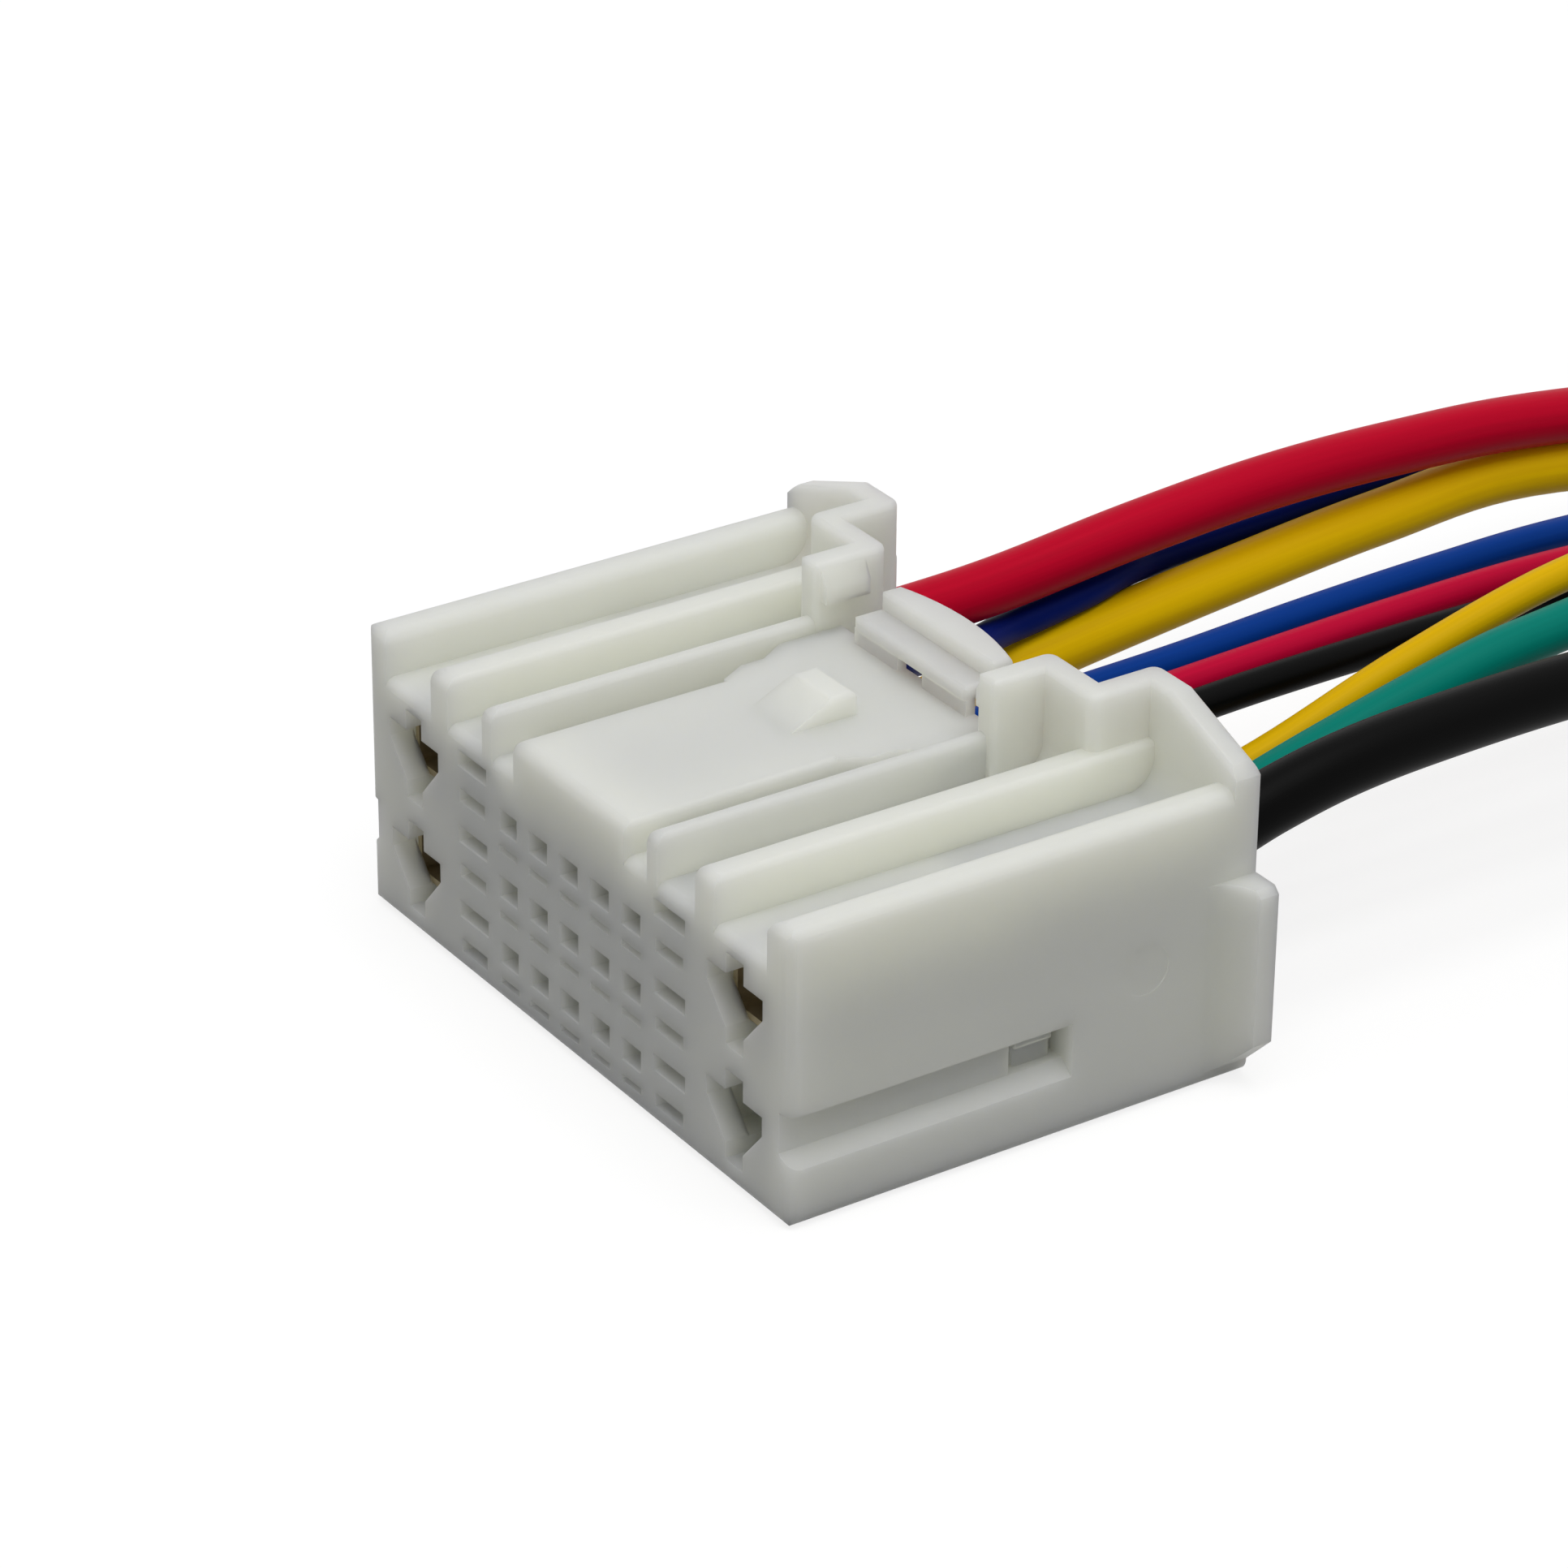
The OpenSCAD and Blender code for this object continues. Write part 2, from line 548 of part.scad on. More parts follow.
// Block and ribs with all edges of the mating face rounded
module block() {
  intersection() {
    along_y(0, body_d) block_section();
    linear_extrude(deck_h) plan();
    along_x(-half_w, half_w) side_outline(deck_h, deck_r);
  }
  intersection() {
    along_y(0, body_d) rib_section();
    linear_extrude(rib_h) plan();
    along_x(-half_w, half_w) side_outline(rib_h, edge_r);
  }
}

// Rounded outer corner of the hood wall at [x, y], from the direction a
module hood_corner_at(x, y, a, z0) {
  translate([x, y, z0]) rotate([0, 0, a]) rotate_extrude(angle = 90) {
    square([hood_bend - rim_r, hood_h - z0]);
    square([hood_bend, hood_h - z0 - rim_r]);
    translate([hood_bend - rim_r, hood_h - z0 - rim_r]) intersection() {
      circle(rim_r);
      square(rim_r);
    }
  }
}

// Hollow fillet between the deck and a hood wall whose front face is at y
module hood_fillet_at(x0, x1, y) {
  f = hood_fillet;
  along_x(x0, x1) difference() {
    translate([y - f, deck_h - lap]) square([f + eps, f + lap]);
    translate([y - f, deck_h + f]) circle(f);
  }
}

// Rear hood: one wall that turns back beside the latch and slopes down to the side
module hood() {
  z0 = deck_h - lap;
  t = hood_t;
  c = hood_bend;
  knee_x = step_x + hood_level;
  side_z = hood_h - (half_w - knee_x) * tan(hood_slope) - hood_corner;
  soft_box(guard_x, guard_x + t, guard_y, guard_y + t, z0, hood_h, rim_r);
  along_y(guard_y + t / 2, rear_wide - c) round_bar(guard_x, guard_x + t, z0, hood_h, rim_r);
  hood_corner_at(guard_x + c, rear_wide - c, 90, z0);
  along_x(guard_x + c, step_x + t - c) round_bar(rear_wide - t, rear_wide, z0, hood_h, rim_r);
  hood_corner_at(step_x + t - c, rear_wide - t + c, 270, z0);
  along_y(rear_wide - t + c, body_d - c) round_bar(step_x, step_x + t, z0, hood_h, rim_r);
  hood_corner_at(step_x + c, body_d - c, 90, z0);
  intersection() {
    along_x(step_x + c, half_w) round_bar(body_d - t, body_d, z0, hood_h, rim_r);
    translate([knee_x, 0, hood_h]) rotate([0, hood_slope, 0]) along_x(-half_w, half_w)
      round_bar(body_d - t, body_d, -half_w, 0, rim_r);
    along_y(body_d - t, body_d)
      polygon([[step_x, z0], [half_w, z0], [half_w, side_z], [step_x, side_z + half_w - step_x]]);
  }
  hood_fillet_at(guard_x + lap, mid_rib_x + lap, rear_wide - t);
  hood_fillet_at(mid_rib_x + lap, half_w - lap, body_d - t);
  along_y(guard_y + rim_r, rear_wide - t)
    polygon([[guard_x + rim_r, hood_h - stop_drop], [guard_x - stop_out, hood_h - stop_drop],
      [guard_x - stop_out, hood_h - stop_drop + stop_h], [guard_x, hood_h - rim_r],
      [guard_x + rim_r, hood_h - rim_r]]);
}

// Rear ear on the side: a lip with a hollow front fillet and slanted outer corners
module ear() {
  x0 = half_w - lap;
  x1 = half_w + ear_out;
  y1 = body_d - ear_t;
  z1 = deck_h - ear_drop;
  intersection() {
    linear_extrude(deck_h) union() {
      translate([x0, y1]) square([ear_out + lap, ear_t]);
      difference() {
        translate([x0, y1 - ear_out]) square([ear_out + lap, ear_out + eps]);
        translate([x1, y1 - ear_out]) circle(ear_out);
      }
    }
    along_y(0, body_d)
      polygon([[x0, ear_z], [half_w, ear_z], [x1, ear_z + ear_out], [x1, z1 - rim_r],
        [x1 - rim_r, z1], [x0, z1]]);
  }
}

// Latch arm with its root and two shoulders on each side
module arm() {
  z0 = arm_h - arm_t;
  x1 = bay_x - shoulder_gap;
  x2 = bay_x - rear_gap;
  y1 = shoulder_y + shoulder_run;
  y2 = y1 + shoulder_flat;
  y3 = y2 + shoulder_run;
  r = edge_r;
  intersection() {
    union() {
      along_y(0, root_len) round_bar(-arm_x, arm_x, flex_z - lap, arm_h, rim_r);
      along_y(0, shoulder_y + eps) round_bar(-arm_x, arm_x, z0, arm_h, rim_r);
      translate([0, 0, z0]) linear_extrude(arm_t)
        polygon([[-arm_x, shoulder_y], [arm_x, shoulder_y], [x1, y1], [x1, y2], [x2, y3], [x2, arm_end],
          [-x2, arm_end], [-x2, y3], [-x1, y2], [-x1, y1]]);
    }
    along_x(-half_w, half_w) {
      translate([r, 0]) square([body_d, arm_h]);
      square([body_d, arm_h - r]);
      translate([r, arm_h - r]) circle(r);
    }
  }
}

// Locking nub: a block with rounded edges behind a ramp
module nub() {
  z0 = arm_h - lap;
  z1 = arm_h + nub_h;
  y0 = nub_y - nub_top;
  intersection() {
    along_x(-nub_w / 2, nub_w / 2) {
      round_bar(y0, nub_y, z0, z1, rim_r);
      polygon([[nub_y - nub_len, z0], [y0 + rim_r, z0], [y0 + rim_r, z1], [nub_y - nub_len, arm_h]]);
    }
    along_y(nub_y - nub_len, nub_y) round_bar(-nub_w / 2, nub_w / 2, z0, z1, rim_r);
  }
}

// Stepped press pad with a curved rear edge, on a web with a window
module press_pad() {
  low_z = arm_h + pad_low;
  plate_z = low_z - pad_t;
  high_z = arm_h + pad_high;
  rise = high_z - plate_z;
  intersection() {
    union() {
      soft_box(-pad_x, pad_x, pad_y, body_d, plate_z, low_z, rim_r);
      soft_box(-pad_x, pad_x, pad_y + pad_low_len, body_d, plate_z, high_z, rim_r);
    }
    translate([0, rear_wide - pad_arc_r, plate_z]) rotate_extrude($fn = 96) {
      square([pad_arc_r - rim_r, rise]);
      square([pad_arc_r, rise - rim_r]);
      translate([pad_arc_r - rim_r, rise - rim_r]) circle(rim_r);
    }
  }
  difference() {
    box(-pad_x, pad_x, arm_end - web_t, arm_end, arm_h - lap, plate_z + eps);
    box(-window_w / 2, window_w / 2, pad_y, arm_end + lap, arm_h, plate_z);
  }
}

// Guide groove in the side wall with a deeper pocket at its rear end
module side_groove() {
  x0 = half_w - groove_depth;
  x1 = half_w + 1;
  z0 = groove_z;
  z1 = groove_z + groove_h;
  mid = groove_z + groove_h / 2;
  y0 = groove_len - pocket_len;
  along_y(-1, groove_len)
    polygon([[half_w, z0 - groove_slant], [x0, z0], [x0, z1], [x1, z1], [x1, z0 - groove_slant]]);
  box(half_w - pocket_block, x1, y0, groove_len, z0, mid);
  box(half_w - pocket_block + pocket_step, x1, y0, groove_len, z0, z1);
  box(half_w - pocket_depth, x1, y0, y0 + pocket_front, z0, z1);
  box(half_w - pocket_depth, x1, groove_len - pocket_rear, groove_len, z0, z1);
}

module housing() color([0.86, 0.87, 0.84]) centred() {
  difference() {
    union() {
      difference() {
        block();
        box(-bay_x, bay_x, root_len, body_d, flex_z, rib_h + 1);
        box(-bay_x, bay_x, -1, root_len + eps, deck_h, rib_h + 1);
      }
      mirrored() hood();
      mirrored() ear();
      arm();
      nub();
      press_pad();
    }
    mirrored() side_groove();
    mirrored() translate([half_w - mark_depth, mark_y, mark_z]) rotate([0, 90, 0])
      cylinder(h = 1, r = mark_r);
    for (s = [-1, 1], j = [0, 1]) power_cavity(s * power_x, power_top - j * power_row);
    for (s = [-1, 1], j = [0 : 2]) cavity(s * wide_x, wide_top - j * wide_row, wide_w, wide_h,
      wide_box_h, wide_hole_w, wide_hole_h, wide_box_l, wide_slot_w, wide_slot_h, rear_wide);
    for (k = [-2 : 2], j = [0 : 2]) cavity(k * signal_pitch, signal_top - j * signal_row, signal_w,
      signal_h, signal_box_h, signal_hole_w, signal_hole_h, signal_box_l, signal_hole_w,
      signal_slot_h, rear_mid);
  }
}

// Bowed leaf that stands on the box floor at both its ends
module tongue(x, w, y0, z0, sheet) {
  half = tongue_l / 2;
  rise = sheet + tongue_rise;
  r = (half * half + rise * rise) / (2 * rise);
  along_x(x - w / 2, x + w / 2) intersection() {
    translate([y0 + half, z0 + rise - r]) difference() {
      circle(r, $fn = 180);
      circle(r - sheet, $fn = 180);
    }
    translate([y0 - lap, z0 - sheet / 2]) square([tongue_l + 2 * lap, rise + sheet]);
  }
}

// Rolled strand crimp: two curled wings on a rounded floor
module crimp(x, y0, y1, z, d) {
  along_y(y0, y1) translate([x, z]) {
    for (s = [-1, 1]) translate(d * [s * crimp_wing[0], crimp_wing[1]]) circle(d * crimp_wing_r);
    translate(d * crimp_floor) circle(d * crimp_floor_r);
  }
}

// Folded sheet terminal: box with a window and a tongue, floor strip, strand crimp and
// insulation ring with a closed front
module terminal(x, floor_z, w, h, y0, l, sheet, wire_d, axis_z, ring_y, ring_l) {
  top_z = floor_z + h;
  window_y = y0 + l - box_window_back;
  crimp_y = ring_y - ring_l;
  ring_d = wire_d + 2 * sheet;
  difference() {
    box(x - w / 2, x + w / 2, y0, y0 + l, floor_z, top_z);
    box(x - w / 2 + sheet, x + w / 2 - sheet, y0 - 1, y0 + l + 1, floor_z + sheet, top_z - sheet);
    box(x - w / 4, x + w / 4, window_y - box_window_l, window_y, top_z - 2 * sheet, top_z + 1);
  }
  tongue(x, w / 2, y0 + tongue_in, floor_z + sheet, sheet);
  box(x - wire_d / 4, x + wire_d / 4, y0 + l - lap, ring_y, floor_z, floor_z + sheet);
  box(x - sheet, x + sheet, crimp_y, ring_y, min(floor_z, axis_z), max(axis_z, floor_z + sheet));
  crimp(x, crimp_y, ring_y - eps, axis_z, wire_d);
  translate([x, ring_y + ring_l, axis_z]) rotate([90, 0, 0]) difference() {
    cylinder(h = ring_l + sheet, d = ring_d, $fn = 32);
    translate([0, 0, -1]) cylinder(h = ring_l + 1, d = wire_d, $fn = 32);
  }
}

module power_terminal(x, row, wire_d) {
  top = power_top - row * power_row;
  color(metal) centred() terminal(x, top - power_notch_h - power_box_h, power_w - 2 * fit,
    power_box_h - fit, front_wall + fit, power_box_l, power_sheet, wire_d, top - power_h / 2,
    start_power, power_ring);
}

module wide_terminal(x, row, wire_d) {
  top = wide_top - row * wide_row;
  color(metal) centred() terminal(x, top - wide_box_h, wide_w - 2 * fit,
    wide_box_h - fit, front_wall + fit, wide_box_l, wide_sheet, wire_d, top - wide_h / 2,
    start_wide, wide_ring);
}

module signal_terminal(x, row) {
  top = signal_top - row * signal_row;
  color(metal) centred() terminal(x, top - signal_box_h, signal_w - 2 * fit,
    signal_box_h - fit, front_wall + fit, signal_box_l, signal_sheet, thin_d, top - signal_h / 2,
    start_signal, signal_ring);
}

// Wire insulation swept along its route
module wire(p, d) {
  n = wire_sides;
  c = grounded(smooth_line(p, wire_steps), d / 2);
  m = len(c);
  pts = [for (i = [0 : m - 1]) each ring_at(c[i], heading(c, i), d / 2, n)];
  skin = [for (i = [0 : m - 2], k = [0 : n - 1]) each
    [[i * n + k, (i + 1) * n + k, (i + 1) * n + (k + 1) % n],
     [i * n + k, (i + 1) * n + (k + 1) % n, i * n + (k + 1) % n]]];
  caps = [[for (k = [0 : n - 1]) k], [for (k = [n - 1 : -1 : 0]) (m - 1) * n + k]];
  centred() polyhedron(pts, concat(skin, caps));
}

// Bare strands at the end of a wire
module strands(p, d) {
  e = p[len(p) - 1];
  color(copper) centred() translate([e[0], e[1] + strip_len, e[2]]) rotate([90, 0, 0])
    cylinder(h = strip_len, d = d * core_share, $fn = 24);
}

module power_terminal_upper_left() power_terminal(-power_x, 0, thick_d);
module power_terminal_lower_left() power_terminal(-power_x, 1, thick_d);
module power_terminal_upper_right() power_terminal(power_x, 0, heavy_d);
module wide_terminal_left() wide_terminal(-wide_x, 0, thin_d);
module wide_terminal_right() wide_terminal(wide_x, 1, medium_d);
module signal_terminal_third() signal_terminal(-signal_pitch, 0);
module signal_terminal_fourth() signal_terminal(0, 0);
module signal_terminal_fifth() signal_terminal(signal_pitch, 0);
module signal_terminal_sixth() signal_terminal(2 * signal_pitch, 1);
module wire_red() color([0.69, 0, 0.16]) wire(route_red, thick_d);
module wire_navy() color([0, 0.12, 0.4]) wire(route_navy, thin_d);
module wire_gold() color([0.88, 0.69, 0]) wire(route_gold, thick_d);
module wire_blue() color([0, 0.24, 0.55]) wire(route_blue, thin_d);
module wire_crimson() color([0.75, 0.06, 0.22]) wire(route_crimson, thin_d);
module wire_ink() color([0.05, 0.05, 0.05]) wire(route_ink, thin_d);
module wire_lemon() color([0.88, 0.69, 0]) wire(route_lemon, thin_d);
module wire_teal() color([0, 0.55, 0.47]) wire(route_teal, medium_d);
module wire_black() color([0.05, 0.05, 0.05]) wire(route_black, heavy_d);
module strands_red() strands(route_red, thick_d);
module strands_navy() strands(route_navy, thin_d);
module strands_gold() strands(route_gold, thick_d);
module strands_blue() strands(route_blue, thin_d);
module strands_crimson() strands(route_crimson, thin_d);
module strands_ink() strands(route_ink, thin_d);
module strands_lemon() strands(route_lemon, thin_d);
module strands_teal() strands(route_teal, medium_d);
module strands_black() strands(route_black, heavy_d);

housing();
power_terminal_upper_left();
power_terminal_lower_left();
power_terminal_upper_right();
wide_terminal_left();
wide_terminal_right();
signal_terminal_third();
signal_terminal_fourth();
signal_terminal_fifth();
signal_terminal_sixth();
wire_red();
wire_navy();
wire_gold();
wire_blue();
wire_crimson();
wire_ink();
wire_lemon();
wire_teal();
wire_black();
strands_red();
strands_navy();
strands_gold();
strands_blue();
strands_crimson();
strands_ink();
strands_lemon();
strands_teal();
strands_black();
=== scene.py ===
import bmesh
import bpy
import numpy as np
from mathutils import Matrix


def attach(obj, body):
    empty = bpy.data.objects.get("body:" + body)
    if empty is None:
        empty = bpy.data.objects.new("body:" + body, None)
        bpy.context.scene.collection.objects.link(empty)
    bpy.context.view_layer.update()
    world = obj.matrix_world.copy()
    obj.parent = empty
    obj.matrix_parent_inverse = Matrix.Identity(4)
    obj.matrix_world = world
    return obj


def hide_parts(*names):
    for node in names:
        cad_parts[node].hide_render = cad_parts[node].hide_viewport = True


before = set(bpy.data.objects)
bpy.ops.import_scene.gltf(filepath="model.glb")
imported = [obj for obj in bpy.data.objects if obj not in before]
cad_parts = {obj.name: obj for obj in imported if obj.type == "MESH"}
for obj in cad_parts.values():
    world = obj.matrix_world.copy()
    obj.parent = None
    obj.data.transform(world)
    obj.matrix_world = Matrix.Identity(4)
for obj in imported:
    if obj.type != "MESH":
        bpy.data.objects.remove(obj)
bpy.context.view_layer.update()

# Viewpoint.
# A long lens a quarter of a metre away looks down on the mating face from the right,
# so that the wires run out of the picture at its right edge.
PHOTO_PX = 1932
FOCAL_PX = 7332.9
PRINCIPAL_OFFSET_PX = (7.6, 12.2)
CAMERA_RIGHT = (0.55605, 0.83116, 0.00831)
CAMERA_UP = (-0.39323, 0.25422, 0.88363)
CAMERA_BACK = (0.73229, -0.49459, 0.46815)
CAMERA_PLACE = (0.1909, -0.12947, 0.13277)
NEAREST_SEEN = 0.01

lens = bpy.data.cameras.new("product_view")
lens.lens = FOCAL_PX / PHOTO_PX * lens.sensor_width
lens.shift_x = -PRINCIPAL_OFFSET_PX[0] / PHOTO_PX
lens.shift_y = -PRINCIPAL_OFFSET_PX[1] / PHOTO_PX
lens.clip_start = NEAREST_SEEN
camera = bpy.data.objects.new("product_view", lens)
axes_and_place = np.column_stack([CAMERA_RIGHT, CAMERA_UP, CAMERA_BACK, CAMERA_PLACE])
camera.matrix_world = Matrix(np.vstack([axes_and_place, [0, 0, 0, 1]]).tolist())
bpy.context.scene.collection.objects.link(camera)
bpy.context.scene.camera = camera
bpy.context.scene.view_settings.view_transform = "Standard"

# Wires.
# Stranded copper leads in smooth extruded insulation, cut to about one length. Each is
# crimped in its terminal, leaves the rear of the housing, and droops to the surface.
# Their sizes are in millimetres.
MM = 0.001
THIN = 1.6
MEDIUM = 2.25
THICK = 2.75
HEAVY = 2.95
HOUSING_REAR = 12.0
CRIMP_STRAIGHT = 3.0
CAVITY_STRAIGHT_END = 7.4
CURVE_STEPS = 8
WIRE_SIDES = 40

# Each wire's diameter, the start of its axis in the terminal, and its route behind the
# housing as x, distance behind the rear edge and height.
LEADS = {
    "red": (THICK, (-13, 2.6, 9.0), [
        (-13, 2, 9.0), (-13, 8, 9.2), (-13, 16, 9.98), (-13, 24, 10.45), (-13, 32, 10.3), (-13, 41, 9.6),
        (-13, 56, 7.2), (-13, 70, 4), (-13, 82, 1.8), (-13, 92, 1.375), (-13, 108, 1.375),
        (-13, 124, 1.375)]),
    "gold": (THICK, (-13, 2.6, 3.42), [
        (-13, 1, 3.52), (-13, 6, 4.12), (-13, 14, 5.12), (-13, 22, 5.97), (-13, 31, 6.72),
        (-13.3, 41, 6.73), (-12.4, 56, 4.3), (-10.2, 70, 2.1), (-9.5, 82, 1.375), (-9.5, 92, 1.375),
        (-9.5, 108, 1.375), (-9.5, 123, 1.375)]),
    "navy": (THIN, (-8, 0, 9.95), [
        (-8, -2, 9.85), (-9.2, 1.5, 8.75), (-11.3, 5, 7.35), (-12.7, 8, 6.85), (-13, 10.5, 6.98),
        (-13.3, 13.5, 7.25), (-14, 16, 7.3), (-14.7, 18.2, 7.05), (-15.15, 21, 6.9), (-15.25, 26, 7.0),
        (-15.3, 31, 7.2), (-15.5, 37, 7.05), (-15.65, 42.5, 6.5), (-15.9, 56, 4.9), (-16, 70, 2.6),
        (-16, 82, 1.1), (-16, 92, 0.8), (-16, 108, 0.8), (-16, 121, 0.8)]),
    "blue": (THIN, (-2.5, -0.9, 8.77), [
        (-2.5, 2, 8.77), (-2.5, 10, 8.9), (-2.5, 18, 9.27), (-2.5, 26, 9.47), (-2.7, 34, 9.27),
        (-3.8, 48, 7.6), (-5, 64, 4.3), (-5.4, 76, 1.7), (-5.5, 86, 0.8), (-5.5, 104, 0.8),
        (-5.5, 122, 0.8)]),
    "crimson": (THIN, (0, -0.9, 8.77), [
        (0, 2, 8.87), (0, 10, 9.17), (0, 22, 9.45), (0, 32, 9.3), (-0.8, 48, 7.47), (-1.7, 64, 4),
        (-2, 76, 1.5), (-2, 86, 0.8), (-2, 104, 0.8), (-2, 125, 0.8)]),
    "ink": (THIN, (2.5, -0.9, 8.77), [
        (2.5, 2, 9.1), (2.5, 10, 9.5), (2.5, 18, 9.55), (2.4, 26, 9.35), (2, 36, 8.5), (1.6, 50, 6.2),
        (1.5, 64, 3), (1.5, 76, 1.1), (1.5, 84, 0.8), (1.5, 102, 0.8), (1.5, 123, 0.8)]),
    "lemon": (THIN, (5, -0.9, 5.435), [
        (5, -2, 5.535), (5, 2, 5.805), (5, 10, 7.505), (5, 18, 9.955), (5, 27, 11.955), (5, 35, 12.135),
        (5, 47, 10.405), (5, 62, 6), (5, 76, 2.1), (5, 88, 0.8), (5, 106, 0.8), (5, 125, 0.8)]),
    "teal": (MEDIUM, (8, 0, 6.15), [
        (8, -2, 6.15), (8, 3, 6.85), (8, 10, 8.65), (8, 18, 10.4), (8, 23, 11.1), (8, 31, 11.4),
        (8.2, 44, 9.7), (8.5, 60, 5.4), (8.5, 74, 2), (8.5, 85, 1.125), (8.5, 103, 1.125),
        (8.5, 122, 1.125)]),
    "black": (HEAVY, (13, 2.6, 9.0), [
        (13, -1.5, 9.2), (13, 1, 9.6), (13, 4, 10.4), (13, 8, 11.1), (13, 13, 11.4), (13, 21, 11.4),
        (13, 31, 10.8), (13, 44, 8.6), (12.8, 58, 5.2), (12.5, 72, 2.2), (12.5, 82, 1.475),
        (12.5, 100, 1.475), (12.5, 124, 1.475)]),
}


def smooth_line(points, steps):
    """Catmull-Rom curve through the points: on each stretch the cubic whose slope at a point
    is half the way from the point before to the point after."""
    padded = np.vstack([points[:1], points, points[-1:]])
    before, here, there, after = (padded[k:len(points) - 1 + k, None] for k in range(4))
    t = (np.arange(steps) / steps)[None, :, None]
    curve = 0.5 * (2 * here + (there - before) * t
                   + (2 * before - 5 * here + 4 * there - after) * t ** 2
                   + (3 * here - before - 3 * there + after) * t ** 3)
    return np.vstack([curve.reshape(-1, 3), points[-1:]])


def directions(line):
    """Unit vectors at each point of a line that runs mostly along Y: level across it,
    upright to it, and along it."""
    along = np.gradient(line, axis=0)
    along /= np.linalg.norm(along, axis=1, keepdims=True)
    side = np.cross(along, [0.0, 0.0, 1.0])
    side /= np.linalg.norm(side, axis=1, keepdims=True)
    return side, np.cross(side, along), along


# The cut end of the insulation: how far its face bulges, how far its edge is rounded, the
# depth of the hole for the strands, and the hole's radius outside and inside as a share.
END_BULGE = 0.03 * MM
END_ROUND = 0.04 * MM
HOLE_DEPTH = 0.9 * MM
HOLE_MOUTH = 0.6
HOLE_FLOOR = 0.58


def insulation_tube(line, radius):
    """Circle carried along the line; the last rows fold over a small rim and in to the strands.
    The circle starts at the underside, where its seam is out of sight."""
    side, top, along = directions(line)
    angle = np.linspace(-0.5 * np.pi, 1.5 * np.pi, WIRE_SIDES, endpoint=False)
    ring = np.cos(angle)[:, None] * side[:, None] + np.sin(angle)[:, None] * top[:, None]
    tube = line[:, None] + radius * ring
    end, out, ahead = line[-1], ring[-1], along[-1]
    rim = [end + ahead * END_BULGE + out * (radius - END_ROUND),
           end + ahead * END_BULGE + out * radius * HOLE_MOUTH,
           end - ahead * HOLE_DEPTH + out * radius * HOLE_FLOOR]
    return np.concatenate([tube, np.stack(rim)])


def tube_piece(name, tubes):
    """Mesh of closed tubes, each a grid of points, rows by sides: a quad between neighbouring
    points of neighbouring rows, all the way round, and one flat face over each end."""
    rows, sides = tubes[0].shape[:2]
    row, turn = np.meshgrid(np.arange(rows - 1), np.arange(sides), indexing="ij")
    here = row * sides + turn
    beside = row * sides + (turn + 1) % sides
    quads = np.stack([here, here + sides, beside + sides, beside], -1).reshape(-1, 4)
    ends = np.stack([np.arange(sides), rows * sides - 1 - np.arange(sides)])
    faces = []
    for number in range(len(tubes)):
        first = number * rows * sides
        faces += (quads + first).tolist() + (ends + first).tolist()
    mesh = bpy.data.meshes.new(name)
    mesh.from_pydata(np.concatenate(tubes).reshape(-1, 3).tolist(), [], faces)
    mesh.polygons.foreach_set("use_smooth", [len(face) == 4 for face in faces])
    mesh.update()
    piece = bpy.data.objects.new(name, mesh)
    bpy.context.scene.collection.objects.link(piece)
    return piece


TUBE_MAP = "round_and_along"


def map_tube(mesh, tube):
    """UV map of a single tube: u runs from 0 to 1 round it, v along its axis in metres."""
    rows, sides = tube.shape[:2]
    row, turn = np.meshgrid(np.arange(rows - 1), np.arange(sides), indexing="ij")
    steps = np.linalg.norm(np.diff(tube.mean(axis=1), axis=0), axis=1)
    run = np.concatenate([[0], np.cumsum(steps)])
    u = np.stack([turn, turn, turn + 1, turn + 1], -1).reshape(-1) / sides
    v = run[np.stack([row, row + 1, row + 1, row], -1).reshape(-1)]
    corners = np.zeros((len(mesh.loops), 2))
    corners[:len(u)] = np.stack([u, v], -1)
    mesh.uv_layers.new(name=TUBE_MAP).data.foreach_set("uv", corners.reshape(-1))


def new_finish(name):
    """New material, with its node tree and its shader."""
    finish = bpy.data.materials.new(name)
    finish.use_nodes = True
    return finish, finish.node_tree, finish.node_tree.nodes["Principled BSDF"]


def soft_noise(tree, place, spots, detail):
    """Noise from 0 to 1, with so many spots to one unit of the coordinates along each axis."""
    stretch = tree.nodes.new("ShaderNodeMapping")
    stretch.inputs["Scale"].default_value = spots
    noise = tree.nodes.new("ShaderNodeTexNoise")
    noise.inputs["Scale"].default_value = 1.0
    noise.inputs["Detail"].default_value = detail
    tree.links.new(place, stretch.inputs["Vector"])
    tree.links.new(stretch.outputs["Vector"], noise.inputs["Vector"])
    return noise.outputs["Fac"]


def tint(tree, shader, noise, dark, light):
    """Base colour that runs from dark to light as the noise runs from 0 to 1."""
    ramp = tree.nodes.new("ShaderNodeValToRGB")
    ramp.color_ramp.elements[0].color = (*dark, 1)
    ramp.color_ramp.elements[1].color = (*light, 1)
    tree.links.new(noise, ramp.inputs["Fac"])
    tree.links.new(ramp.outputs["Color"], shader.inputs["Base Color"])


def emboss(tree, shader, noise, strength, height):
    """Bump that follows the noise, with its highs the given height above its lows."""
    bump = tree.nodes.new("ShaderNodeBump")
    bump.inputs["Strength"].default_value = strength
    bump.inputs["Distance"].default_value = height
    tree.links.new(noise, bump.inputs["Height"])
    tree.links.new(bump.outputs["Normal"], shader.inputs["Normal"])


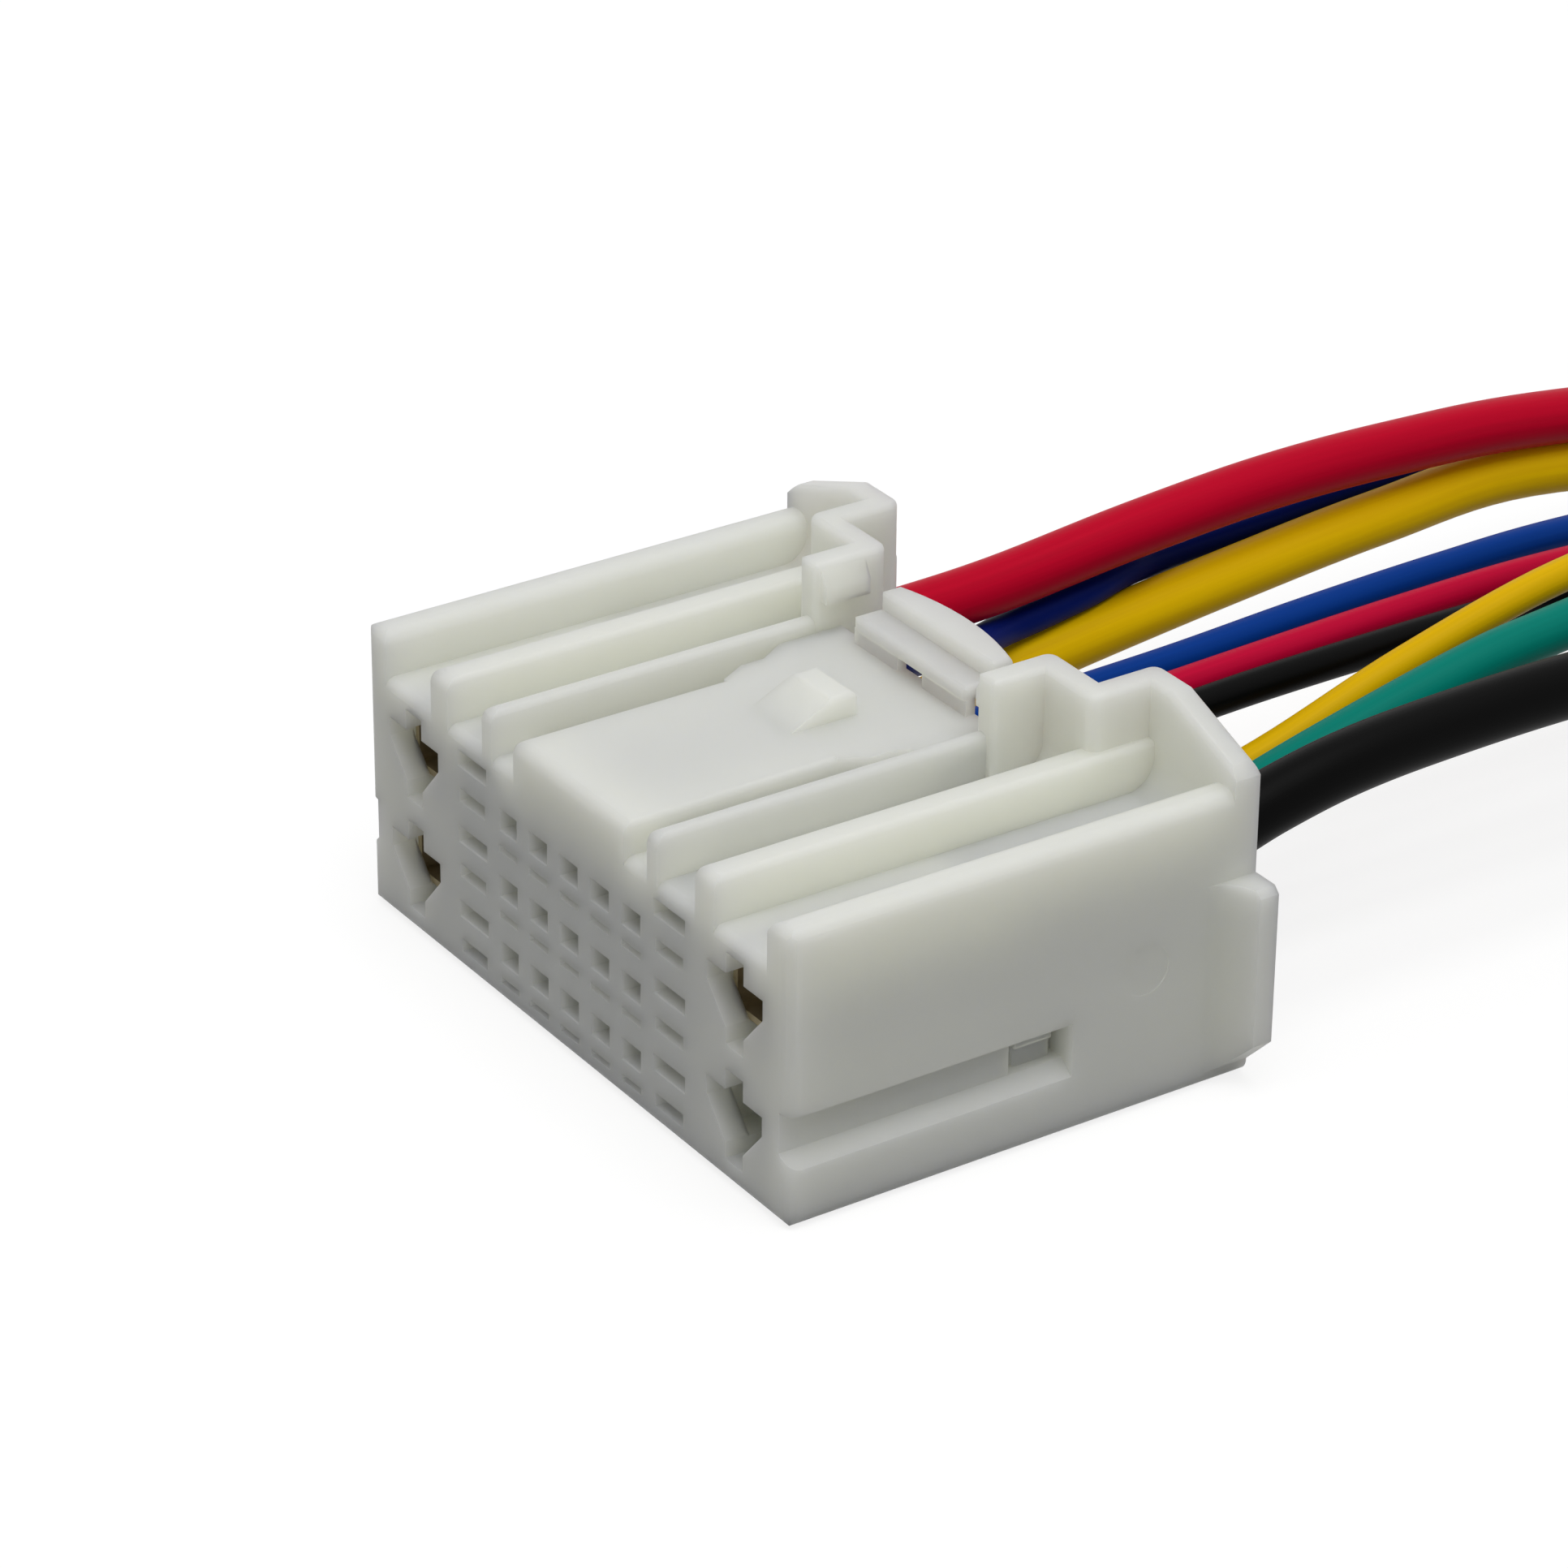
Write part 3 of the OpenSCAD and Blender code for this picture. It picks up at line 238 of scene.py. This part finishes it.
# Linear colour of each insulation, and the marks that the extruder's die leaves along it.
INSULATION = {
    "red": (0.55, 0.001, 0.023), "gold": (1.0, 0.58, 0.001), "navy": (0.001, 0.009, 0.125),
    "blue": (0.001, 0.04, 0.26), "crimson": (0.54, 0.002, 0.038), "ink": (0.001, 0.001, 0.001),
    "lemon": (0.78, 0.465, 0.001), "teal": (0.001, 0.22, 0.17), "black": (0.001, 0.001, 0.001),
}
INSULATION_ROUGHNESS = 0.42
INSULATION_SPECULAR = 0.05
DIE_LINES = (30, 60, 1)
DIE_LINE_DETAIL = 3.0
DIE_LINE_DARK = 0.82
DIE_LINE_LIGHT = 1.12
DIE_LINE_STRENGTH = 0.12
DIE_LINE_HEIGHT = 0.06 * MM


def insulation_finish(name, colour):
    """Plasticised insulation: one colour, a little darker and lighter along faint lines
    that run with the wire, and a low satin gloss."""
    finish, tree, shader = new_finish(name)
    shader.inputs["Roughness"].default_value = INSULATION_ROUGHNESS
    shader.inputs["Specular IOR Level"].default_value = INSULATION_SPECULAR
    place = tree.nodes.new("ShaderNodeUVMap")
    place.uv_map = TUBE_MAP
    lines = soft_noise(tree, place.outputs["UV"], DIE_LINES, DIE_LINE_DETAIL)
    dark = [DIE_LINE_DARK * part for part in colour]
    light = [min(1, DIE_LINE_LIGHT * part) for part in colour]
    tint(tree, shader, lines, dark, light)
    emboss(tree, shader, lines, DIE_LINE_STRENGTH, DIE_LINE_HEIGHT)
    return finish


wires = {}
for colour, (size, start, behind) in LEADS.items():
    x, y, z = start
    route = [(x, y, z), (x, y + CRIMP_STRAIGHT, z), (x, CAVITY_STRAIGHT_END, z)]
    route += [(px, HOUSING_REAR + py, pz) for px, py, pz in behind]
    radius = size * MM / 2
    line = smooth_line(np.array(route) * MM, CURVE_STEPS)
    line[:, 2] = np.maximum(line[:, 2], radius)
    tube = insulation_tube(line, radius)
    wire = tube_piece("insulation_" + colour, [tube])
    map_tube(wire.data, tube)
    wire.data.materials.append(insulation_finish("insulation_" + colour, INSULATION[colour]))
    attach(wire, "root")
    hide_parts("wire_" + colour)
    wires[colour] = (wire, line, size)

# Bare strands.
# The cut end of each lead is stripped, and its copper strands keep the lay they were
# twisted with, in rings round one straight middle strand. Their sizes are in millimetres.
STRIP = 6.0
STRAND_LAY = 14.0
STRAND_INSIDE = 0.5
STRAND_SIDES = 10
STRAND_ROWS = 25
STRAND_FILL = 0.98
UNEVEN_CUT = 0.08
BUNDLE_SHARE = 0.56
COPPER_DARK = (0.55, 0.23, 0.11)
COPPER_LIGHT = (0.86, 0.45, 0.27)
COPPER_ROUGHNESS = (0.22, 0.42)
COPPER_SPOTS = (900, 900, 900)
COPPER_DETAIL = 2.0


def strand_bundle(end, side, top, along, radius, rings):
    """Helices of equal strands: one in the middle and six more in each further ring; ring r
    runs at r strand widths from the axis and turns once in the lay length. Neighbours are
    cut at four slightly different lengths."""
    width = 2 * radius / (2 * rings + 1)
    t = np.linspace(-STRAND_INSIDE * MM, STRIP * MM, STRAND_ROWS)
    angle = np.linspace(0, 2 * np.pi, STRAND_SIDES, endpoint=False)
    circle = np.cos(angle)[:, None] * side + np.sin(angle)[:, None] * top
    strands = []
    for ring in range(rings + 1):
        count = max(1, 6 * ring)
        for strand in range(count):
            turn = 2 * np.pi * (strand / count + t / (STRAND_LAY * MM))
            out = np.cos(turn)[:, None] * side + np.sin(turn)[:, None] * top
            short = UNEVEN_CUT * MM * ((7 * strand + 3 * ring) % 4)
            middle = end + t[:, None] * along + ring * width * out - along * short
            strands.append(middle[:, None] + STRAND_FILL / 2 * width * circle[None])
    return strands


def vary(tree, setting, source, least, most):
    """Runs a setting of a shader from least to most as the source runs from 0 to 1."""
    span = tree.nodes.new("ShaderNodeMapRange")
    span.inputs["To Min"].default_value = least
    span.inputs["To Max"].default_value = most
    tree.links.new(source, span.inputs["Value"])
    tree.links.new(span.outputs["Result"], setting)


# Drawn copper: bright metal, a little darker and duller in spots where it aired.
bare_copper, tree, shader = new_finish("bare_copper")
shader.inputs["Metallic"].default_value = 1.0
place = tree.nodes.new("ShaderNodeTexCoord")
aired = soft_noise(tree, place.outputs["Object"], COPPER_SPOTS, COPPER_DETAIL)
tint(tree, shader, aired, COPPER_DARK, COPPER_LIGHT)
vary(tree, shader.inputs["Roughness"], aired, *COPPER_ROUGHNESS)

for colour, (wire, line, size) in wires.items():
    side, top, along = (vectors[-1] for vectors in directions(line))
    rings = 2 if size >= THICK else 1
    bundle = strand_bundle(line[-1], side, top, along, size * MM / 2 * BUNDLE_SHARE, rings)
    strands = tube_piece("copper_" + colour, bundle)
    strands.data.materials.append(bare_copper)
    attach(strands, "root")
    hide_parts("strands_" + colour)
    leaves = line[np.abs(line[:, 1] - HOUSING_REAR * MM).argmin()]

# Terminals.
# Folded copper alloy sheet with a dull tin plating; each is pushed into its cavity from
# the rear until the catch of the cavity snaps behind its box.
TIN_DARK = (0.34, 0.28, 0.17)
TIN_LIGHT = (0.62, 0.54, 0.38)
TIN_ROUGHNESS = (0.35, 0.6)
TIN_MARKS = (1400, 160, 1400)
TIN_DETAIL = 4.0

# Warm grey metal, cloudy, with fine marks along the sheet where it was drawn.
tin_plating, tree, shader = new_finish("tin_plating")
shader.inputs["Metallic"].default_value = 1.0
place = tree.nodes.new("ShaderNodeTexCoord")
marks = soft_noise(tree, place.outputs["Object"], TIN_MARKS, TIN_DETAIL)
tint(tree, shader, marks, TIN_DARK, TIN_LIGHT)
vary(tree, shader.inputs["Roughness"], marks, *TIN_ROUGHNESS)

for name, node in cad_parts.items():
    if "terminal" in name:
        node.data.materials.clear()
        node.data.materials.append(tin_plating)

# Housing.
# One injection moulding of natural nylon, milky and a little see-through at its thin
# walls, with edges softened by the mould and the fine satin grain of its steel.
NYLON_DARK = (0.775, 0.785, 0.685)
NYLON_LIGHT = (0.82, 0.83, 0.74)
NYLON_CLOUDS = (140, 140, 140)
NYLON_CLOUD_DETAIL = 3.0
NYLON_ROUGHNESS = (0.36, 0.5)
NYLON_SPECULAR = 0.35
LIGHT_DEPTH = 6 * MM
LIGHT_DEPTH_BY_COLOUR = (1.0, 0.97, 0.85)
GRAIN = (9000, 9000, 9000)
GRAIN_DETAIL = 2.0
GRAIN_STRENGTH = 0.1
GRAIN_HEIGHT = 0.02 * MM

# Pale milk white that light enters by a few millimetres, slightly cloudy, with a soft gloss.
natural_nylon, tree, shader = new_finish("natural_nylon")
shader.inputs["Subsurface Weight"].default_value = 1.0
shader.inputs["Subsurface Radius"].default_value = LIGHT_DEPTH_BY_COLOUR
shader.inputs["Subsurface Scale"].default_value = LIGHT_DEPTH
shader.inputs["Specular IOR Level"].default_value = NYLON_SPECULAR
place = tree.nodes.new("ShaderNodeTexCoord")
clouds = soft_noise(tree, place.outputs["Object"], NYLON_CLOUDS, NYLON_CLOUD_DETAIL)
grain = soft_noise(tree, place.outputs["Object"], GRAIN, GRAIN_DETAIL)
tint(tree, shader, clouds, NYLON_DARK, NYLON_LIGHT)
vary(tree, shader.inputs["Roughness"], clouds, *NYLON_ROUGHNESS)
emboss(tree, shader, grain, GRAIN_STRENGTH, GRAIN_HEIGHT)

# The merging distance lies between two widths of the facets on the smallest rounds, so that
# such a facet closes along its whole length.
EDGE_ROUND = 0.22 * MM
EDGE_STEPS = 3
WIDTHS_TO_AN_EDGE = 3
SHARP_COSINE = 0.82
SAME_POINT = 0.0437 * MM
FLAT_ANGLE = 0.01


def softened_copy(source, name):
    """Copy of a CAD mesh with its doubles merged, its flat faces joined and its edges rounded.
    Each sharp edge gets the bevel weight min(1, s / 3w): s is the shortest edge at its ends,
    w the full width. Unit normals a and b meet at the cosine |a + b| squared / 2 - 1."""
    mesh = source.data.copy()
    work = bmesh.new()
    work.from_mesh(mesh)
    bmesh.ops.remove_doubles(work, verts=work.verts, dist=SAME_POINT)
    bmesh.ops.dissolve_limit(work, angle_limit=FLAT_ANGLE, verts=work.verts, edges=work.edges)
    work.to_mesh(mesh)
    work.free()
    ends = np.empty(2 * len(mesh.edges), int)
    points = np.empty(3 * len(mesh.vertices))
    normals = np.empty(3 * len(mesh.polygons))
    corners = np.empty(len(mesh.polygons), int)
    edge_of_corner = np.empty(len(mesh.loops), int)
    mesh.edges.foreach_get("vertices", ends)
    mesh.vertices.foreach_get("co", points)
    mesh.polygons.foreach_get("normal", normals)
    mesh.polygons.foreach_get("loop_total", corners)
    mesh.loops.foreach_get("edge_index", edge_of_corner)
    ends = ends.reshape(-1, 2)
    points = points.reshape(-1, 3)
    normals = normals.reshape(-1, 3)
    length = np.linalg.norm(points[ends[:, 0]] - points[ends[:, 1]], axis=1)
    shortest = np.full(len(points), np.inf)
    np.minimum.at(shortest, ends.reshape(-1), np.repeat(length, 2))
    both = np.zeros((len(ends), 3))
    np.add.at(both, edge_of_corner, np.repeat(normals, corners, axis=0))
    cosine = (both ** 2).sum(axis=1) / 2 - 1
    two_faces = np.bincount(edge_of_corner, minlength=len(ends)) == 2
    share = shortest[ends].min(axis=1) / (WIDTHS_TO_AN_EDGE * EDGE_ROUND)
    weight = np.clip(share, 0, 1) * (two_faces & (cosine < SHARP_COSINE))
    mesh.attributes.new("bevel_weight_edge", "FLOAT", "EDGE").data.foreach_set("value", weight)
    mesh.polygons.foreach_set("use_smooth", np.ones(len(corners), bool))
    piece = bpy.data.objects.new(name, mesh)
    bpy.context.scene.collection.objects.link(piece)
    edge = piece.modifiers.new("edge_round", "BEVEL")
    edge.width = EDGE_ROUND
    edge.segments = EDGE_STEPS
    edge.limit_method = "WEIGHT"
    piece.modifiers.new("flat_faces", "WEIGHTED_NORMAL")
    return piece


moulding = softened_copy(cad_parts["housing"], "moulding")
moulding.data.materials.clear()
moulding.data.materials.append(natural_nylon)
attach(moulding, "root")
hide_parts("housing")

# Studio.
# A pale table in a white room, under one wide soft lamp that hangs overhead to the right.
# Table and room show as white to the camera, but light the part only at a plain level.
FLOOR_HALF = 3.0
FLOOR_LEVEL = -0.02 * MM
FLOOR_GREY = 0.22
FLOOR_ROUGHNESS = 0.8
FLOOR_GLOW = 0.8
ROOM_LIGHT = 0.42
ROOM_WHITE = 1.0
LAMP_POWER = 2.35
LAMP_SIZE = 0.5
LAMP_PLACE = (0.19, -0.03, 0.6)


def eye_rays(tree):
    """1 on rays from the camera, from a reflection or through a clear piece, and 0 on all
    others: the largest of the three flags."""
    path = tree.nodes.new("ShaderNodeLightPath")
    flag = path.outputs["Is Camera Ray"]
    for kind in ("Is Glossy Ray", "Is Transmission Ray"):
        larger = tree.nodes.new("ShaderNodeMath")
        larger.operation = "MAXIMUM"
        tree.links.new(flag, larger.inputs[0])
        tree.links.new(path.outputs[kind], larger.inputs[1])
        flag = larger.outputs["Value"]
    return flag


pale_table, tree, shader = new_finish("pale_table")
shader.inputs["Base Color"].default_value = (FLOOR_GREY, FLOOR_GREY, FLOOR_GREY, 1)
shader.inputs["Roughness"].default_value = FLOOR_ROUGHNESS
shader.inputs["Emission Color"].default_value = (1, 1, 1, 1)
vary(tree, shader.inputs["Emission Strength"], eye_rays(tree), 0.0, FLOOR_GLOW)

corners = [(-FLOOR_HALF, -FLOOR_HALF, FLOOR_LEVEL), (FLOOR_HALF, -FLOOR_HALF, FLOOR_LEVEL),
           (FLOOR_HALF, FLOOR_HALF, FLOOR_LEVEL), (-FLOOR_HALF, FLOOR_HALF, FLOOR_LEVEL)]
floor_mesh = bpy.data.meshes.new("table_top")
floor_mesh.from_pydata(corners, [], [(0, 1, 2, 3)])
floor_mesh.materials.append(pale_table)
floor = bpy.data.objects.new("table_top", floor_mesh)
bpy.context.scene.collection.objects.link(floor)

room = bpy.data.worlds.new("white_room")
room.use_nodes = True
tree = room.node_tree
background = tree.nodes["Background"]
background.inputs["Color"].default_value = (1, 1, 1, 1)
vary(tree, background.inputs["Strength"], eye_rays(tree), ROOM_LIGHT, ROOM_WHITE)
bpy.context.scene.world = room

lamp = bpy.data.lights.new("overhead_softbox", "AREA")
lamp.shape = "SQUARE"
lamp.size = LAMP_SIZE
lamp.energy = LAMP_POWER
softbox = bpy.data.objects.new("overhead_softbox", lamp)
softbox.location = LAMP_PLACE
bpy.context.scene.collection.objects.link(softbox)
